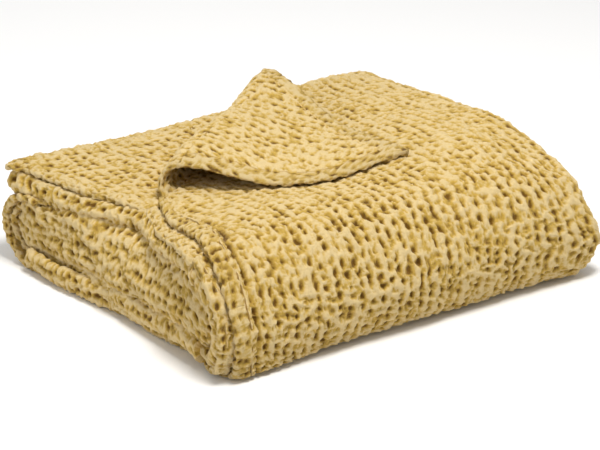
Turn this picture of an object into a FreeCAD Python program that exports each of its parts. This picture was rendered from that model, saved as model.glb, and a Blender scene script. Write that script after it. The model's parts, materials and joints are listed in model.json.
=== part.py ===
"""A folded throw blanket, as a parametric document in millimetres.

The cloth is a 1.3 m x 1.7 m honeycomb weave with a hem on all four sides. Its long side is folded
in half twice, which makes a strip of four plies: ply A outside with a side hem, ply B beside it with
the opposite side hem, then C and D, which meet in a fold lip over the hemmed end. The strip is then
rolled flat about two folds, so that four laps lie on each other:

    top lap         free end at the back, with one corner of ply A turned back over itself
    near fold       joins the top lap to the bottom lap round everything else
    bottom lap      rests on the table
    rear fold       joins the bottom lap to the upper inner lap
    inner laps      joined by a tight inner fold inside the near fold

X runs along the folds, with the hems at low X. Y runs from the near fold to the rear fold. Z is up.
The origin is in the middle of the bounding box, on the table.
"""
import FreeCAD, Part
import Sketcher
import math
import os
from FreeCAD import Vector

SIZES = {
    "bundle_length": (424.0, "along X, from the hemmed end to the ply folds"),
    "ply_pitch": (7.0, "one ply of lofty cloth and the air beside it"),
    "half_gap": (0.15, "half of the clearance between two plies"),
    "near_centre": (56.0, "near fold axis from the near side of the bundle"),
    "rear_centre": (330.0, "rear fold axis from the near side of the bundle"),
    "bundle_depth": (372.0, "along Y, from the near fold to the rear fold"),
    "inner_near_centre": (61.0, "inner fold axis from the near side, clear of the near fold"),
    "inner_end": (286.0, "free end of the innermost lap from the near side"),
    "top_end": (358.0, "free end of the top lap from the near side"),
    "hem_width": (26.0, "sewn hem on every edge of the cloth"),
    "inner_left": (10.0, "how far the inner laps stop short of the bottom lap"),
    "top_left": (26.0, "how far the plies under the top ply stop short"),
    "top_hem_left": (10.0, "how far the top ply stops short at the near fold"),
    "corner_start_across": (60.0, "start of the corner's fold line, from the hemmed end"),
    "corner_start_back": (196.0, "start of the corner's fold line, from the near side"),
    "corner_finish_across": (313.0, "where the corner's fold line meets the free end"),
    "corner_tip_along": (134.0, "corner tip along the fold line, from its finish"),
    "corner_tip_reach": (184.0, "corner tip square to the fold line"),
    "corner_loop": (13.0, "radius of the soft loop at the turned corner, to mid ply"),
    "corner_tilt": (5.0, "slope of the turned corner down to its tip, degrees"),
}
FOLD_FOOT_SWEEP = 30.0  # degrees of the near fold that stay with the bottom lap, and with the top lap
FOLD_LINK_SWEEP = 60.0  # degrees of each of the near fold's two middle lengths
QUARTER_TURN = 90.0
HALF_TURN = 180.0
SWEEP_CLEARANCE = 0.3  # degrees left free between two lengths of a fold
LOOP_CLEARANCE = 1.5  # degrees left free between the halves of the corner's loop
END_HEM_MITRE = 0.5  # share of the hem's width cut away where the end hem meets the fold line
SAME_POINT = 1e-6  # mm

os.makedirs("parts", exist_ok=True)
doc = FreeCAD.newDocument("folded_throw")
sheet = doc.addObject("Spreadsheet::Sheet", "Sizes")
for row, (alias, (number, meaning)) in enumerate(SIZES.items(), start=1):
    sheet.set(f"A{row}", meaning)
    sheet.set(f"B{row}", str(number))
    sheet.setAlias(f"B{row}", alias)
doc.recompute()


class Size:
    """A length worked out from the sheet: its value now, and the expression that binds it."""

    def __init__(self, value, text):
        self.value = value
        self.text = text

    def __add__(self, other):
        return Size(self.value + other.value, f"({self.text} + {other.text})")

    def __sub__(self, other):
        return Size(self.value - other.value, f"({self.text} - {other.text})")

    def __mul__(self, factor):
        return Size(self.value * factor, f"({self.text} * {factor})")


def size(alias):
    return Size(SIZES[alias][0], f"Sizes.{alias}")


length = size("bundle_length")
ply = size("ply_pitch")
gap = size("half_gap")
near_centre = size("near_centre")
rear_centre = size("rear_centre")
hem = size("hem_width")
strip = ply * 4
stack = ply * 16
half_length = length.value / 2
half_depth = SIZES["bundle_depth"][0] / 2
parts = []


def finish(item, label, at, rotation=FreeCAD.Rotation()):
    """Names a sub-part, puts it in its place and lists it for writing."""
    item.Label = label
    item.Placement = FreeCAD.Placement(Vector(*at), rotation)
    parts.append(item)
    return item


def sketch_on(body, role):
    plane = next(item for item in body.Origin.OriginFeatures if item.Role == role)
    sketch = body.newObject("Sketcher::SketchObject", body.Name + "_outline")
    sketch.AttachmentSupport = [(plane, "")]
    sketch.MapMode = "FlatFace"
    return sketch


def draw_outline(sketch, corners, arcs=()):
    """Closes an outline through corners, each a pair of Sizes, in order.

    arcs says which sides are half circles: {side: (centre, +1 or -1)}, where the centre is a Size
    across and the sign is the direction in which the half circle bulges.
    """
    arcs = dict(arcs)
    count = len(corners)
    ends = []
    for side in range(count):
        first = Vector(corners[side][0].value, corners[side][1].value, 0)
        last = Vector(corners[(side + 1) % count][0].value, corners[(side + 1) % count][1].value, 0)
        if side in arcs:
            circle = Part.Circle((first + last) * 0.5, Vector(0, 0, 1), first.distanceToPoint(last) / 2)
            begin = -math.pi / 2 * arcs[side][1]
            curve = Part.ArcOfCircle(circle, begin, begin + math.pi)
        else:
            curve = Part.LineSegment(first, last)
        sketch.addGeometry(curve, False)
        starts_first = sketch.Geometry[side].StartPoint.distanceToPoint(first) < SAME_POINT
        ends.append((1, 2) if starts_first else (2, 1))
    for side in range(count):
        following = (side + 1) % count
        sketch.addConstraint(
            Sketcher.Constraint("Coincident", side, ends[side][1], following, ends[following][0])
        )
    for side in range(count):
        # A corner is held by the straight side that begins or ends there.
        holder, point = (side, 1) if side not in arcs else ((side - 1) % count, 2)
        bind(sketch, "DistanceX", holder, point, corners[side][0], f"across_{side}")
        bind(sketch, "DistanceY", holder, point, corners[side][1], f"up_{side}")
    for side, (centre, _) in arcs.items():
        bind(sketch, "DistanceX", side, 3, centre, f"centre_{side}")


def bind(sketch, kind, side, point, place, name):
    """Holds a point of the sketch at a Size from the sketch's origin."""
    index = sketch.addConstraint(Sketcher.Constraint(kind, -1, 1, side, point, place.value))
    sketch.renameConstraint(index, name)
    sketch.setExpression(f"Constraints.{name}", place.text)


def outer_leaf(inside, left):
    """Plies A and D and the fold between them, in section. inside is where ply D begins."""
    right = length - ply * 2
    hem_end = left + hem
    lip_end = left + ply + gap
    corners = [
        (hem_end, inside + strip - gap),
        (right, inside + strip - gap),
        (right, inside + gap),
        (lip_end, inside + gap),
        (lip_end, inside + ply - gap),
        (right, inside + ply - gap),
        (right, inside + ply * 3 + gap),
        (hem_end, inside + ply * 3 + gap),
    ]
    return corners, {1: (right, 1), 5: (right, 1)}


def under_leaf(inside, left):
    """Ply D and the fold that leads up to ply A, in section."""
    right = length - ply * 2
    lip_end = left + ply + gap
    corners = [
        (right, inside + strip - gap),
        (right, inside + gap),
        (lip_end, inside + gap),
        (lip_end, inside + ply - gap),
        (right, inside + ply - gap),
        (right, inside + ply * 3 + gap),
    ]
    return corners, {0: (right, 1), 4: (right, 1)}


def inner_leaf(inside, left):
    """Plies B and C, the fold between them, and the lip that leads on to ply D, in section."""
    right = length - ply * 2
    lip = left + ply
    corners = [
        (left + gap, inside + ply * 3 - gap),
        (right, inside + ply * 3 - gap),
        (right, inside + ply + gap),
        (lip, inside + ply + gap),
        (lip, inside + gap),
        (lip, inside + ply * 2 - gap),
        (right - gap, inside + ply * 2 - gap),
        (right - gap, inside + ply * 2 + gap),
        (left + gap, inside + ply * 2 + gap),
    ]
    return corners, {1: (right, 1), 4: (lip, -1)}


def side_hem(inside, left):
    """The sewn hem at the end of ply A, in section."""
    corners = [
        (left + gap, inside + strip - gap),
        (left + hem - gap * 2, inside + strip - gap),
        (left + hem - gap * 2, inside + ply * 3 + gap),
        (left + gap, inside + ply * 3 + gap),
    ]
    return corners, {}


SECTIONS = {"outer_leaf": outer_leaf, "inner_leaf": inner_leaf, "side_hem": side_hem}


def flat_length(label, section, left, start, end, level, upside_down=False):
    """A flat length of the strip between two places along Y. Ply A is on top, or below if upside down."""
    body = doc.addObject("PartDesign::Body", label)
    corners, arcs = section(gap, left)
    sketch = sketch_on(body, "XZ_Plane")
    draw_outline(sketch, corners, arcs)
    pad = body.newObject("PartDesign::Pad", label + "_pad")
    pad.Profile = sketch
    pad.setExpression("Length", (end - start).text)
    sketch.Visibility = False
    if upside_down:
        place = (-half_length, start.value - half_depth, level.value + gap.value)
        return finish(body, label, place, FreeCAD.Rotation(Vector(1, 0, 0), HALF_TURN))
    return finish(body, label, (-half_length, end.value - half_depth, level.value - gap.value))


def folded_length(label, section, left, centre, level, inside, first, sweep):
    """A length of the strip bent round an axis parallel to X, from the angle first, measured from up
    towards the near side."""
    body = doc.addObject("PartDesign::Body", label)
    corners, arcs = section(inside, left)
    sketch = sketch_on(body, "XZ_Plane")
    draw_outline(sketch, corners, arcs)
    turn = body.newObject("PartDesign::Revolution", label + "_turn")
    turn.Profile = sketch
    turn.ReferenceAxis = (sketch, ["H_Axis"])
    turn.Angle = sweep - SWEEP_CLEARANCE
    sketch.Visibility = False
    place = (-half_length, centre.value - half_depth, level.value)
    return finish(body, label, place, FreeCAD.Rotation(Vector(1, 0, 0), first + SWEEP_CLEARANCE / 2))


def flat_panel(label, corners, thickness, at, rotation=FreeCAD.Rotation()):
    """A flat panel of one ply with straight edges."""
    body = doc.addObject("PartDesign::Body", label)
    sketch = sketch_on(body, "XY_Plane")
    draw_outline(sketch, corners)
    pad = body.newObject("PartDesign::Pad", label + "_pad")
    pad.Profile = sketch
    pad.setExpression("Length", thickness.text)
    sketch.Visibility = False
    body.Label = label
    body.Placement = FreeCAD.Placement(Vector(*at), rotation)
    return body


def inner_laps():
    """The three laps inside the top lap and the near fold, and the folds that join them."""
    inner_left = size("inner_left")
    inner_near = size("inner_near_centre")
    none = gap - gap
    for name, section in SECTIONS.items():
        flat_length(f"bottom_lap_{name}", section, none, near_centre, rear_centre, strip, True)
        folded_length(f"rear_fold_{name}", section, none, rear_centre, ply * 6, ply * 2,
                      HALF_TURN, HALF_TURN)
        flat_length(f"upper_inner_lap_{name}", section, inner_left, inner_near, rear_centre, ply * 8)
        folded_length(f"inner_fold_{name}", section, inner_left, inner_near, ply * 8, none,
                      0.0, HALF_TURN)
        flat_length(f"lower_inner_lap_{name}", section, inner_left, inner_near,
                    size("inner_end"), ply * 8, True)


def near_fold():
    """The outer fold, in the four lengths that straighten one after another as the top lap is laid open."""
    none = gap - gap
    lengths = {
        "near_fold_head": (0.0, FOLD_FOOT_SWEEP),
        "near_fold_upper": (FOLD_FOOT_SWEEP, FOLD_LINK_SWEEP),
        "near_fold_lower": (FOLD_FOOT_SWEEP + FOLD_LINK_SWEEP, FOLD_LINK_SWEEP),
        "near_fold_foot": (FOLD_FOOT_SWEEP + 2 * FOLD_LINK_SWEEP, FOLD_FOOT_SWEEP),
    }
    for place, (first, sweep) in lengths.items():
        for name, section in SECTIONS.items():
            folded_length(f"{place}_{name}", section, none, near_centre, ply * 8, ply * 4, first, sweep)


def top_lap():
    """The lap on top: ply A with its corner cut away, its hems, and the plies beneath it."""
    left = size("top_left")
    top_end = size("top_end")
    under_end = top_end - ply
    flat_length("top_lap_under_leaf", under_leaf, left, near_centre, under_end, ply * 12)
    flat_length("top_lap_inner_leaf", inner_leaf, left, near_centre, under_end, ply * 12)
    start_across = size("corner_start_across")
    start_back = size("corner_start_back")
    finish_across = size("corner_finish_across")
    across = finish_across - start_across
    back = top_end - start_back
    # how far the fold line climbs over one hem's width
    climb = Size(hem.value * back.value / across.value, f"({hem.text} * {back.text} / {across.text})")
    hem_left = size("top_hem_left")
    near_edge = near_centre + gap
    right = length - ply * 2 - gap * 2
    thickness = ply - gap * 2
    level = (-half_length, -half_depth, stack.value - ply.value + gap.value)
    panel = flat_panel(
        "top_ply",
        [
            (hem_left + hem, near_edge),
            (right, near_edge),
            (right, top_end - hem),
            (finish_across - hem, top_end - hem),
            (start_across + hem, start_back + climb),
        ],
        thickness,
        level,
    )
    parts.append(panel)
    side = flat_panel(
        "top_side_hem",
        [
            (hem_left, near_edge),
            (hem_left + hem - gap * 2, near_edge),
            (start_across + hem - gap * 2, start_back + climb - gap),
            (start_across, start_back),
        ],
        thickness,
        level,
    )
    parts.append(side)
    end = flat_panel(
        "top_end_hem",
        [
            (finish_across - hem + gap * 4, top_end - hem + gap * 2),
            (right, top_end - hem + gap * 2),
            (right, top_end),
            (finish_across + hem * END_HEM_MITRE, top_end),
        ],
        thickness,
        level,
    )
    parts.append(end)


def turned_corner():
    """The corner of ply A that is turned back over itself: its flap, two hems and a soft loop."""
    start = Vector(SIZES["corner_start_across"][0], SIZES["corner_start_back"][0], 0)
    end = Vector(SIZES["corner_finish_across"][0], SIZES["top_end"][0], 0)
    across = size("corner_finish_across") - size("corner_start_across")
    back = size("top_end") - size("corner_start_back")
    fold = Size(start.distanceToPoint(end), f"sqrt(({across.text})^2 + ({back.text})^2)")
    tip_along = size("corner_tip_along")
    reach = size("corner_tip_reach")
    loop = size("corner_loop")
    tilt = SIZES["corner_tilt"][0]
    heading = math.degrees(math.atan2(end.y - start.y, end.x - start.x))
    middle = stack.value - ply.value / 2
    thickness = ply - gap * 2
    underside = middle + 2 * loop.value - thickness.value / 2
    turn = FreeCAD.Rotation(Vector(0, 0, 1), heading + HALF_TURN)
    turn = turn.multiply(FreeCAD.Rotation(Vector(1, 0, 0), -tilt))
    at = (end.x - half_length, end.y - half_depth, underside)
    flap = flat_panel("corner_blank", [(gap, gap), (tip_along, reach), (fold - gap, gap)],
                      thickness, at, turn)

    def hem_zone(label, first, last):
        """A block along one edge of the flap, as wide as the hem. first and last are flap corners."""
        zone = doc.addObject("Part::Box", label)
        run = last - first
        zone.Length = run.Length + 2 * hem.value
        zone.setExpression("Width", hem.text)
        zone.Height = thickness.value + 2 * ply.value
        local = FreeCAD.Placement(first, FreeCAD.Rotation(Vector(1, 0, 0), run))
        shift = FreeCAD.Placement(Vector(-hem.value, 0, -ply.value), FreeCAD.Rotation())
        zone.Placement = FreeCAD.Placement(Vector(*at), turn).multiply(local).multiply(shift)
        return zone

    tip = Vector(tip_along.value, reach.value, 0)
    side_zone = hem_zone("corner_side_zone", tip, Vector(fold.value, 0, 0))
    end_zone = hem_zone("corner_end_zone", Vector(0, 0, 0), tip)
    for zone in (side_zone, end_zone):
        # The block lies to the left of its edge, and the flap to the right of it.
        edge_side = FreeCAD.Placement(Vector(0, -hem.value, 0), FreeCAD.Rotation())
        zone.Placement = zone.Placement.multiply(edge_side)

    def boolean(kind, label, base, tool, kept=True):
        item = doc.addObject(kind, label)
        item.Base = base
        item.Tool = tool
        item.Label = label
        if kept:
            parts.append(item)
        return item

    boolean("Part::Common", "corner_side_hem", flap, side_zone)
    rest = boolean("Part::Cut", "corner_rest", flap, side_zone, kept=False)
    boolean("Part::Common", "corner_end_hem", rest, end_zone)
    boolean("Part::Cut", "corner_flap", rest, end_zone)

    along = (end - start).normalize()
    outward = Vector(-along.y, along.x, 0)
    up = Vector(0, 0, 1)
    axis_at = Vector(start.x - half_length, start.y - half_depth, middle + loop.value)
    for label, first, second in (
        ("corner_loop_lower", up * -1, outward),
        ("corner_loop_upper", outward, up),
    ):
        frame = FreeCAD.Rotation(first, second, along, "ZXY")
        outside = doc.addObject("Part::Cylinder", label + "_outside")
        inside = doc.addObject("Part::Cylinder", label + "_inside")
        for cylinder, radius in ((outside, loop + ply * 0.5 - gap), (inside, loop - ply * 0.5 + gap)):
            cylinder.setExpression("Radius", radius.text)
            cylinder.setExpression("Height", fold.text)
            cylinder.Placement = FreeCAD.Placement(axis_at, frame)
        outside.Angle = QUARTER_TURN - LOOP_CLEARANCE
        if label == "corner_loop_upper":
            lift = FreeCAD.Rotation(along, LOOP_CLEARANCE)
            outside.Placement = FreeCAD.Placement(axis_at, lift.multiply(frame))
        boolean("Part::Cut", label, outside, inside)


inner_laps()
near_fold()
top_lap()
turned_corner()
doc.recompute()

for item in doc.Objects:
    if "Invalid" in item.State or "Error" in item.State:
        raise RuntimeError(f"{item.Name} failed: {item.State}")
labels = [part.Label for part in parts]
if len(set(labels)) != len(labels):
    raise RuntimeError("two sub-parts share a name")
box = FreeCAD.BoundBox()
for part in parts:
    if part.Shape.isNull() or not part.Shape.isValid() or part.Shape.Volume <= 0:
        raise RuntimeError(f"{part.Label} has no valid shape")
    box.add(part.Shape.BoundBox)
for part in parts:
    part.Shape.exportStep(f"parts/{part.Label}.step")
print(len(parts), "sub-parts")
print("low", box.XMin, box.YMin, box.ZMin, "high", box.XMax, box.YMax, box.ZMax)
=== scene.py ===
import json
import math

import bpy
import numpy as np
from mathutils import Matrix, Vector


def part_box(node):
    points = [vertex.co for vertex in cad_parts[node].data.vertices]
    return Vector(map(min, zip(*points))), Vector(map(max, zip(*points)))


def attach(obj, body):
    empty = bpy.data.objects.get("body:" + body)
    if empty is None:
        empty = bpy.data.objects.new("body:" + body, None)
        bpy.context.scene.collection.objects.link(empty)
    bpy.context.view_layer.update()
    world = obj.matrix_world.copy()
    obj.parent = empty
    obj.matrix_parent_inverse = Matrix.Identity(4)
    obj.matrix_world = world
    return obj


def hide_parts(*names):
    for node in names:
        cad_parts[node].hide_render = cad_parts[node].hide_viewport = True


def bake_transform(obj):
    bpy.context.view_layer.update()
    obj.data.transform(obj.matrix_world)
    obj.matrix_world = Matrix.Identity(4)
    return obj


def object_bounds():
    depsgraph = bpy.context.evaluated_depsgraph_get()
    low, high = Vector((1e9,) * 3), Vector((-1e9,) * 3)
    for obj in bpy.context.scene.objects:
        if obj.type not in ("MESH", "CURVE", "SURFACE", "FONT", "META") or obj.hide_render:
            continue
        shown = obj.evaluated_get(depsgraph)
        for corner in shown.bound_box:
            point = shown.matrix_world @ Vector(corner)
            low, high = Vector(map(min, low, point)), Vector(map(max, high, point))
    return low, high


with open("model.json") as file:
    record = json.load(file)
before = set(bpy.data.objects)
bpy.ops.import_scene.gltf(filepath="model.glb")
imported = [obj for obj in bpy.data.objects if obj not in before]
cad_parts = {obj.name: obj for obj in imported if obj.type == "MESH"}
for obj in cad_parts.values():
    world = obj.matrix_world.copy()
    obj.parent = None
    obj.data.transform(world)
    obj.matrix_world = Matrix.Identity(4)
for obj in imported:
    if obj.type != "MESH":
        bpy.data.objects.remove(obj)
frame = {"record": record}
CAD_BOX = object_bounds()

# Everything below is in millimetres until a mesh is made.
MM = 1000.0


def node_box(name):
    """Lowest and highest corner of a CAD node, in millimetres."""
    low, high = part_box(name)
    return np.array(low) * MM, np.array(high) * MM


# Sizes of the folded bundle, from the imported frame.
X_LEFT = CAD_BOX[0][0] * MM
X_RIGHT = CAD_BOX[1][0] * MM
TOP = node_box("top_ply")[1][2] + 0.15
LAP = TOP / 4
PLY = LAP / 4
NEAR_Y = node_box("top_lap_inner_leaf")[0][1]
NEAR_R = TOP / 2
REAR_Y = node_box("upper_inner_lap_outer_leaf")[1][1]
REAR_R = 1.5 * LAP
INNER_Y = node_box("upper_inner_lap_outer_leaf")[0][1]
LOWER_END = node_box("lower_inner_lap_outer_leaf")[1][1]
TOP_END = node_box("top_end_hem")[1][1]
FOLD_X = X_RIGHT - LAP / 2

# The turned corner's fold line, from its hinge: it starts at P1 and runs along FOLD_D.
CORNER = [j for j in frame["record"]["behaviour"]["joints"] if j["name"] == "corner_turn"][0]
FOLD_D = -np.array(CORNER["axis"][:2], float)
FOLD_N = np.array([-FOLD_D[1], FOLD_D[0]])
LOOP_REACH = 16.5
P1 = np.array(CORNER["pos_m"][:2], float) * MM - FOLD_N * LOOP_REACH
P2_X = node_box("corner_loop_lower")[1][0]
FOLD_LENGTH = (P2_X - P1[0]) / FOLD_D[0]
P2 = P1 + FOLD_D * FOLD_LENGTH

# Pitch of the waffle weave along the bundle's length and across it.
CELL_U = 11.4
CELL_V = 9.3
FINE = 1.3
COARSE = 3.2
HEM = 22.0
FLOOR_GAP = 0.2
# half a ply, and how far short of that its plain inner skin stops
HALF = PLY / 2
BACK_GAP = 0.4
SAME_PLACE = 1e-6
# where a ply's section starts before its own left end is known
FLAT_START = -190

RANDOM = np.random.default_rng(7).random((12, 256, 256))


def smooth(t):
    """Zero to one with flat ends."""
    t = np.clip(t, 0, 1)
    return t * t * (3 - 2 * t)


def curve(at, *points):
    """The value at a place on the line through (place, value) points, held flat past its ends."""
    places, values = zip(*points)
    return np.interp(at, places, values)


def cell_value(layer, i, j):
    """A fixed random number from 0 to 1 for each cell of a lattice."""
    return RANDOM[layer][i % 256, j % 256]


def noise(u, v, layer=0):
    """Smooth value noise from -1 to 1 on a unit lattice."""
    i, j = np.floor(u).astype(int), np.floor(v).astype(int)
    a, b = u - i, v - j
    a, b = a * a * a * (a * (a * 6 - 15) + 10), b * b * b * (b * (b * 6 - 15) + 10)
    low = cell_value(layer, i, j) * (1 - a) + cell_value(layer, i + 1, j) * a
    high = cell_value(layer, i, j + 1) * (1 - a) + cell_value(layer, i + 1, j + 1) * a
    return 2 * (low * (1 - b) + high * b) - 1


def ridges(u, v, layer):
    """Sharp little creases, from 0 in the valleys to 1 on the ridges."""
    return 1 - np.abs(noise(u, v, layer)) * 2


# heights of the weave's relief, in mm
LUMP_RISE, PIT_FALL, CREASE_RISE, GRAIN_RISE = 1.8, 2.0, 1.6, 0.34


def weave(u, v, strength=1.0, slit=0.0, pit_size=1.0):
    """Relief of the waffle weave in mm, and a cavity value from 0 to 1 that sets painted shade: darker in and
    around the pits and in the crease valleys, with some random tone.
    """
    wu = u + 2.7 * noise(u / 47, v / 39, 0) + 1.3 * noise(u / 15, v / 13, 1)
    wv = v + 2.7 * noise(u / 41 + 40, v / 43 + 9, 1) + 1.4 * noise(u / 14 + 7, v / 15 + 3, 2)
    mood = noise(u / 52 + 3, v / 44 + 8, 3)
    pits = np.zeros(np.shape(wu))
    lumps = np.zeros(np.shape(wu))
    col0 = np.floor(wu / CELL_U).astype(int)
    for di in (-1, 0, 1):
        col = col0 + di
        shift = 0.5 * (col % 2) + 0.55 * (cell_value(4, col, 0 * col) - 0.5)
        row0 = np.floor(wv / CELL_V - shift).astype(int)
        for dj in (-1, 0, 1):
            row = row0 + dj
            du = wu - (col + 0.5 + 0.24 * (cell_value(5, col, row) - 0.5)) * CELL_U
            dv = wv - (row + 0.5 + shift + 0.32 * (cell_value(6, col, row) - 0.5)) * CELL_V
            turn = 0.9 * (cell_value(7, col, row) - 0.5) + 0.3 * mood + slit
            p = du * np.cos(turn) + dv * np.sin(turn)
            q = dv * np.cos(turn) - du * np.sin(turn)
            depth = 0.2 + 0.95 * smooth(1.3 * cell_value(8, col, row) - 0.1)
            width = (1.35 + 0.75 * cell_value(10, col, row)) * pit_size
            length = (2.3 + 1.9 * cell_value(9, col, row)) * pit_size
            pits = np.maximum(pits, depth * np.exp(-(np.hypot(p / width, q / length) ** 1.9)))
            lumps = np.maximum(lumps, np.exp(-(du * du / 19 + dv * dv / 15)))
    bent_u, bent_v = wu / 4.9 + 0.6 * noise(v / 7, u / 9, 6), wv / 5.6 + 0.4 * noise(u / 8, v / 6, 4)
    coarse = ridges(bent_u, bent_v, 9)
    crease = coarse * 0.6 + ridges(wu / 2.6 + 5, wv / 2.9, 10) * 0.4
    knot = noise(u / 6.2, v / 5.1, 2)
    grain = noise(u / 1.9 + 31, v / 2.0 + 17, 5)
    height = LUMP_RISE * (0.55 - lumps) - PIT_FALL * pits * (1 + 0.4 * mood)
    height += (CREASE_RISE - 0.7 * pits) * (crease - 0.35)
    height += 0.7 * noise(u / 24, v / 21, 11) + 0.8 * knot + GRAIN_RISE * grain
    # painted shade: darker in and around the pits and in crease valleys; knots and grain add random tone
    cavity = pits * (0.95 + 0.3 * mood) + 0.36 * lumps - 0.12
    cavity += 0.5 * (0.42 - crease) - 0.14 * knot - 0.12 * grain
    return height * strength, np.clip(cavity, 0, 1)


def pucker(u, v):
    """Relief of a turned hem: uneven puckers across its length, u along the hem; its cavity value paints
    shade, darker between the puckers and in the weave's pits.
    """
    bent_u, bent_v = u / 6.3 + 1.4 * noise(u / 11, v / 7, 6), v / 9.0 + 0.6 * noise(u / 9, v / 9, 1)
    line = ridges(bent_u, bent_v, 3)
    lump = noise(u / 7.3, v / 5.6, 4)
    waffle, cavity = weave(u * 1.2 + 19, v * 1.1 + 7, 1.0, 0.6)
    height = 0.5 * (line - 0.4) + 0.8 * lump + 0.42 * noise(u / 2.6, v / 2.6, 5) + 0.7 * waffle
    return height, np.clip(0.12 - 0.14 * line - 0.2 * lump + 0.85 * cavity, 0, 1)


# ---- the rolled strip ----

def roll(station, n, t):
    """(y, z) of a point n mm in from the strip's outer face. t is y on a lap and an angle on a fold."""
    if station == "top":
        return t + 0 * n, TOP - n + 0 * t
    if station == "near":
        return NEAR_Y - (NEAR_R - n) * np.sin(t), NEAR_R + (NEAR_R - n) * np.cos(t)
    if station == "bottom":
        return t + 0 * n, n + 0 * t
    if station == "rear":
        return REAR_Y + (REAR_R - n) * np.sin(t), REAR_R - (REAR_R - n) * np.cos(t)
    if station == "upper":
        return t + 0 * n, 3 * LAP - n + 0 * t
    if station == "inner":
        return INNER_Y - (LAP - n) * np.sin(t), 2 * LAP + (LAP - n) * np.cos(t)
    return t + 0 * n, LAP + n + 0 * t


def along(station, n, t):
    """Distance along the strip at that depth, continuous from one station to the next."""
    near = (NEAR_R - n) * math.pi
    rear = near + REAR_Y - NEAR_Y + (REAR_R - n) * math.pi
    inner = rear + REAR_Y - INNER_Y + (LAP - n) * math.pi
    if station == "top":
        return NEAR_Y - t + 0 * n
    if station == "near":
        return (NEAR_R - n) * t
    if station == "bottom":
        return near + t - NEAR_Y
    if station == "rear":
        return near + REAR_Y - NEAR_Y + (REAR_R - n) * t
    if station == "upper":
        return rear + REAR_Y - t
    if station == "inner":
        return rear + REAR_Y - INNER_Y + (LAP - n) * t
    return inner + t - INNER_Y


def settle(x, y, z):
    """How weight and bulk shape the bundle: the same for every layer, so that they stay nested."""
    height = np.clip(z / TOP, 0, 1.25)
    rear = curve(y, (-90, 0), (-20, -5), (40, -8.5), (100, -10), (165, -10.5), (190, -11.5))
    side = smooth((x + 40) / 190) * curve(
        y, (-120, 1), (-95, 7), (-60, 15), (-35, 18), (0, 17), (60, 14), (110, 10), (140, 8), (180, 6)
    )
    left = -4.5 * smooth((-90 - x) / 110) * curve(y, (-130, 0), (-40, 1), (110, 0.6), (180, -0.8))
    side = side + 3.5 * np.exp(-((x - 160) / 30) ** 2) * smooth((y - 110) / 50)
    near = 4.5 * curve(y, (-150, 0.2), (-128, 1), (-105, 1), (-40, 0))
    corner = -9 * smooth((x - 120) / 90) * smooth((-y - 20) / 90)
    swell = 1.8 * noise(x / 95 + 5, y / 80 + 2, 1) + 1.0 * noise(x / 47 + 9, y / 41 + 4, 2)
    z1 = z + (rear + side + left + near + corner + swell) * height
    # the near fold sags and spreads at its foot
    fold = smooth((NEAR_Y + 22 - y) / 42)
    sag = curve(z, (0, 0), (14, 5), (30, 17), (56, 43), (84, 73), (104, 100), (112, 110), (120, 119)) - z
    z1 = z1 + sag * fold
    reach = 20 - 11 * smooth((x + 190) / 120)
    push = np.exp(-((z - 4) / 19) ** 2) * smooth((NEAR_Y + 34 - y) / 46) * reach
    tuck = 5 * smooth((x + 170) / 160) * smooth((NEAR_Y + 30 - y) / 60) * np.clip(1 - z / 70, 0, 1)
    y1 = y - push * smooth((x + 236) / 60) + tuck
    y1 = y1 + 2.0 * noise(x / 70 + 1, z / 60 + 5, 7) * smooth((NEAR_Y + 20 - y) / 40)
    # the far end bulges at half height and its lower corner is rounded off
    far = smooth((x - 110) / 100)
    x1 = x + 12 * far * np.exp(-((z - 54) / 27) ** 2) * smooth((60 - y) / 160)
    x1 = x1 - 9 * far * np.clip(1 - z / 30, 0, 1) ** 1.5
    return x1, y1, np.maximum(z1, FLOOR_GAP)


def on_strip(station, x, n, t):
    """The settled place of a point at x along the bundle, n deep and t along the roll."""
    y, z = roll(station, n, t)
    x = x + 0 * y
    return np.stack(settle(x, y, z), -1)


def ply_end(y):
    """x of the top ply's left end at y; the next two are the second ply's and the left fold's."""
    return X_LEFT + curve(y, (-150, 11), (-130, 17), (-112, 25), (-78, 31), (-37, 40), (10, 58.5), (60, 74))


def second_ply_end(y):
    return X_LEFT + curve(
        y, (-150, 0), (-130, 4), (-78, 19), (-37, 30), (10, 50), (48, 37), (80, 28), (122, 21), (158, 12),
        (182, -3),
    )


def side_fold_end(y):
    return X_LEFT + curve(
        y, (-150, 0), (-130, 2), (-37, 24), (10, 38), (70, 19), (130, 8), (165, 0), (185, -5)
    )


# ---- meshes ----

PIECES = {}


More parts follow.
